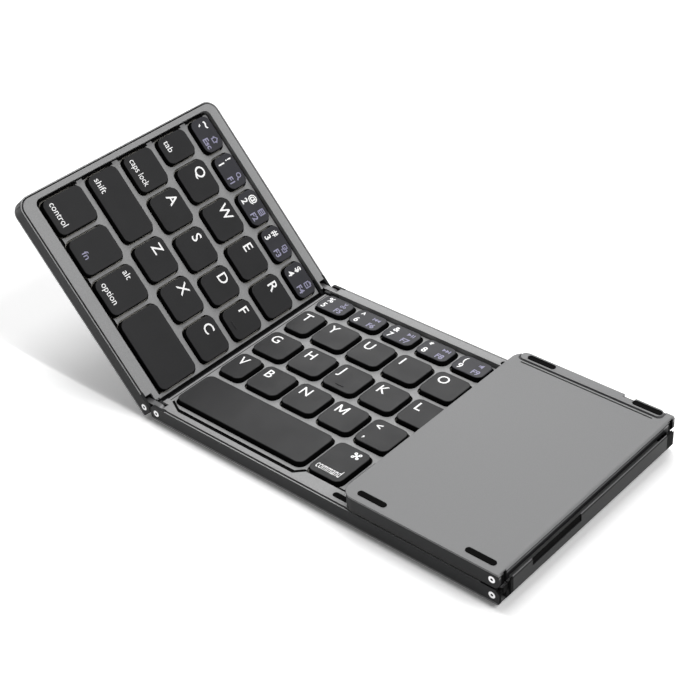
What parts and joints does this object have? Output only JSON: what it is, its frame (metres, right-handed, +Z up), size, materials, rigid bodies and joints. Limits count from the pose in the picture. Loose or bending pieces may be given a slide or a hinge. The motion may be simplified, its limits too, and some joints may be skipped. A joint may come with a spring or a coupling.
{
  "type": "folding keyboard",
  "caption": "Slim pocket keyboard in hinged panels: a wide middle panel, a key panel that folds up at one side and a touch panel folded over the other, joined by spines with pinned links.",
  "frame": {"origin": "on the desk, under the middle of the centre panel", "axes": "+X towards the touch panel's hinge, along the row of panels; +Y from the typist to the rear edge; +Z up"},
  "size_m": [0.2197, 0.098, 0.0713],
  "materials": {
    "satin_grey": "satin metallic grey top and bottom covers",
    "dark_grey": "dark satin case and spines",
    "key_plastic": "matte key caps with printed white legends",
    "black_rubber": "matte black",
    "steel": "bright pins, screws and socket shell",
    "pale_metal": "satin light grey links",
    "board": "green circuit board",
    "sheet": "translucent dome sheet",
    "foil": "silver foil wrapped cell",
    "touch_glass": "smooth dark touch surface"
  },
  "bodies": {
    "center_panel": {"center_case": "dark_grey", "center_bottom_cover": "satin_grey", "center_key_frame": "satin_grey", "center_dome_sheet": "sheet", "center_switch_board": "board", "center_feet": "black_rubber", "center_screws": "steel", "fold_bumpers": "black_rubber"},
    "left_panel": {"left_case": "dark_grey", "left_bottom_cover": "satin_grey", "left_key_frame": "satin_grey", "left_dome_sheet": "sheet", "left_switch_board": "board", "left_feet": "black_rubber", "left_screws": "steel"},
    "right_panel": {"right_case": "dark_grey", "right_bottom_cover": "satin_grey", "right_top_cover": "satin_grey", "touchpad": "touch_glass", "touch_board": "board", "battery": "foil", "main_board": "board", "usb_socket": "steel", "right_feet": "black_rubber", "right_screws": "steel"},
    "left_hinge": {"left_spine": "dark_grey", "left_hinge_links": "pale_metal", "left_hinge_pins": "steel", "left_flex_cover": "black_rubber"},
    "right_hinge": {"right_spine": "dark_grey", "right_hinge_links": "pale_metal", "right_hinge_pins": "steel", "right_flex_cover": "black_rubber"},
    "left_number_keys": {"left_number_keys": "key_plastic"},
    "tab_key": {"tab_key": "key_plastic"},
    "q_key": {"q_key": "key_plastic"},
    "w_key": {"w_key": "key_plastic"},
    "e_key": {"e_key": "key_plastic"},
    "r_key": {"r_key": "key_plastic"},
    "caps_lock_key": {"caps_lock_key": "key_plastic"},
    "a_key": {"a_key": "key_plastic"},
    "s_key": {"s_key": "key_plastic"},
    "d_key": {"d_key": "key_plastic"},
    "f_key": {"f_key": "key_plastic"},
    "left_shift_key": {"left_shift_key": "key_plastic"},
    "z_key": {"z_key": "key_plastic"},
    "x_key": {"x_key": "key_plastic"},
    "c_key": {"c_key": "key_plastic"},
    "control_key": {"control_key": "key_plastic"},
    "fn_key": {"fn_key": "key_plastic"},
    "alt_key": {"alt_key": "key_plastic"},
    "left_space_bar": {"left_space_bar": "key_plastic"},
    "center_number_keys": {"center_number_keys": "key_plastic"},
    "center_upper_keys": {"center_upper_keys": "key_plastic"},
    "center_home_keys": {"center_home_keys": "key_plastic"},
    "center_lower_keys": {"center_lower_keys": "key_plastic"},
    "right_space_bar": {"right_space_bar": "key_plastic"},
    "center_modifier_keys": {"center_modifier_keys": "key_plastic"},
    "arrow_keys": {"arrow_keys": "key_plastic"}
  },
  "joints": [
    {"name": "left_link_turn", "type": "hinge", "parent": "center_panel", "child": "left_hinge", "pos_m": [-0.075, 0, 0.0046], "axis": [0, 1, 0], "range_deg": [0, 90]},
    {"name": "left_panel_turn", "type": "hinge", "parent": "left_hinge", "child": "left_panel", "pos_m": [-0.0814, 0, 0.0046], "axis": [0, 1, 0], "range_deg": [-49, 41]},
    {"name": "right_link_turn", "type": "hinge", "parent": "center_panel", "child": "right_hinge", "pos_m": [0.075, 0, 0.0046], "axis": [0, 1, 0], "range_deg": [0, 90]},
    {"name": "right_panel_turn", "type": "hinge", "parent": "right_hinge", "child": "right_panel", "pos_m": [0.075, 0, 0.011], "axis": [0, 1, 0], "range_deg": [0, 90]},
    {"name": "left_number_keys_press", "type": "slide", "parent": "left_panel", "child": "left_number_keys", "axis": [-0.7547, 0, -0.6561], "range_m": [0, 0.0012], "stiffness_N_per_m": 1650, "springref_m": -0.0005},
    {"name": "tab_key_press", "type": "slide", "parent": "left_panel", "child": "tab_key", "axis": [-0.7547, 0, -0.6561], "range_m": [0, 0.0012], "stiffness_N_per_m": 330, "springref_m": -0.0005},
    {"name": "q_key_press", "type": "slide", "parent": "left_panel", "child": "q_key", "axis": [-0.7547, 0, -0.6561], "range_m": [0, 0.0012], "stiffness_N_per_m": 330, "springref_m": -0.0005},
    {"name": "w_key_press", "type": "slide", "parent": "left_panel", "child": "w_key", "axis": [-0.7547, 0, -0.6561], "range_m": [0, 0.0012], "stiffness_N_per_m": 330, "springref_m": -0.0005},
    {"name": "e_key_press", "type": "slide", "parent": "left_panel", "child": "e_key", "axis": [-0.7547, 0, -0.6561], "range_m": [0, 0.0012], "stiffness_N_per_m": 330, "springref_m": -0.0005},
    {"name": "r_key_press", "type": "slide", "parent": "left_panel", "child": "r_key", "axis": [-0.7547, 0, -0.6561], "range_m": [0, 0.0012], "stiffness_N_per_m": 330, "springref_m": -0.0005},
    {"name": "caps_lock_key_press", "type": "slide", "parent": "left_panel", "child": "caps_lock_key", "axis": [-0.7547, 0, -0.6561], "range_m": [0, 0.0012], "stiffness_N_per_m": 330, "springref_m": -0.0005},
    {"name": "a_key_press", "type": "slide", "parent": "left_panel", "child": "a_key", "axis": [-0.7547, 0, -0.6561], "range_m": [0, 0.0012], "stiffness_N_per_m": 330, "springref_m": -0.0005},
    {"name": "s_key_press", "type": "slide", "parent": "left_panel", "child": "s_key", "axis": [-0.7547, 0, -0.6561], "range_m": [0, 0.0012], "stiffness_N_per_m": 330, "springref_m": -0.0005},
    {"name": "d_key_press", "type": "slide", "parent": "left_panel", "child": "d_key", "axis": [-0.7547, 0, -0.6561], "range_m": [0, 0.0012], "stiffness_N_per_m": 330, "springref_m": -0.0005},
    {"name": "f_key_press", "type": "slide", "parent": "left_panel", "child": "f_key", "axis": [-0.7547, 0, -0.6561], "range_m": [0, 0.0012], "stiffness_N_per_m": 330, "springref_m": -0.0005},
    {"name": "left_shift_key_press", "type": "slide", "parent": "left_panel", "child": "left_shift_key", "axis": [-0.7547, 0, -0.6561], "range_m": [0, 0.0012], "stiffness_N_per_m": 330, "springref_m": -0.0005},
    {"name": "z_key_press", "type": "slide", "parent": "left_panel", "child": "z_key", "axis": [-0.7547, 0, -0.6561], "range_m": [0, 0.0012], "stiffness_N_per_m": 330, "springref_m": -0.0005},
    {"name": "x_key_press", "type": "slide", "parent": "left_panel", "child": "x_key", "axis": [-0.7547, 0, -0.6561], "range_m": [0, 0.0012], "stiffness_N_per_m": 330, "springref_m": -0.0005},
    {"name": "c_key_press", "type": "slide", "parent": "left_panel", "child": "c_key", "axis": [-0.7547, 0, -0.6561], "range_m": [0, 0.0012], "stiffness_N_per_m": 330, "springref_m": -0.0005},
    {"name": "control_key_press", "type": "slide", "parent": "left_panel", "child": "control_key", "axis": [-0.7547, 0, -0.6561], "range_m": [0, 0.0012], "stiffness_N_per_m": 330, "springref_m": -0.0005},
    {"name": "fn_key_press", "type": "slide", "parent": "left_panel", "child": "fn_key", "axis": [-0.7547, 0, -0.6561], "range_m": [0, 0.0012], "stiffness_N_per_m": 330, "springref_m": -0.0005},
    {"name": "alt_key_press", "type": "slide", "parent": "left_panel", "child": "alt_key", "axis": [-0.7547, 0, -0.6561], "range_m": [0, 0.0012], "stiffness_N_per_m": 330, "springref_m": -0.0005},
    {"name": "left_space_bar_press", "type": "slide", "parent": "left_panel", "child": "left_space_bar", "axis": [-0.7547, 0, -0.6561], "range_m": [0, 0.0012], "stiffness_N_per_m": 330, "springref_m": -0.0005},
    {"name": "center_number_keys_press", "type": "slide", "parent": "center_panel", "child": "center_number_keys", "axis": [0, 0, -1], "range_m": [0, 0.0012], "stiffness_N_per_m": 2970, "springref_m": -0.0005},
    {"name": "center_upper_keys_press", "type": "slide", "parent": "center_panel", "child": "center_upper_keys", "axis": [0, 0, -1], "range_m": [0, 0.0012], "stiffness_N_per_m": 2970, "springref_m": -0.0005},
    {"name": "center_home_keys_press", "type": "slide", "parent": "center_panel", "child": "center_home_keys", "axis": [0, 0, -1], "range_m": [0, 0.0012], "stiffness_N_per_m": 2640, "springref_m": -0.0005},
    {"name": "center_lower_keys_press", "type": "slide", "parent": "center_panel", "child": "center_lower_keys", "axis": [0, 0, -1], "range_m": [0, 0.0012], "stiffness_N_per_m": 2640, "springref_m": -0.0005},
    {"name": "right_space_bar_press", "type": "slide", "parent": "center_panel", "child": "right_space_bar", "axis": [0, 0, -1], "range_m": [0, 0.0012], "stiffness_N_per_m": 330, "springref_m": -0.0005},
    {"name": "center_modifier_keys_press", "type": "slide", "parent": "center_panel", "child": "center_modifier_keys", "axis": [0, 0, -1], "range_m": [0, 0.0012], "stiffness_N_per_m": 660, "springref_m": -0.0005},
    {"name": "arrow_keys_press", "type": "slide", "parent": "center_panel", "child": "arrow_keys", "axis": [0, 0, -1], "range_m": [0, 0.0012], "stiffness_N_per_m": 1320, "springref_m": -0.0005}
  ]
}
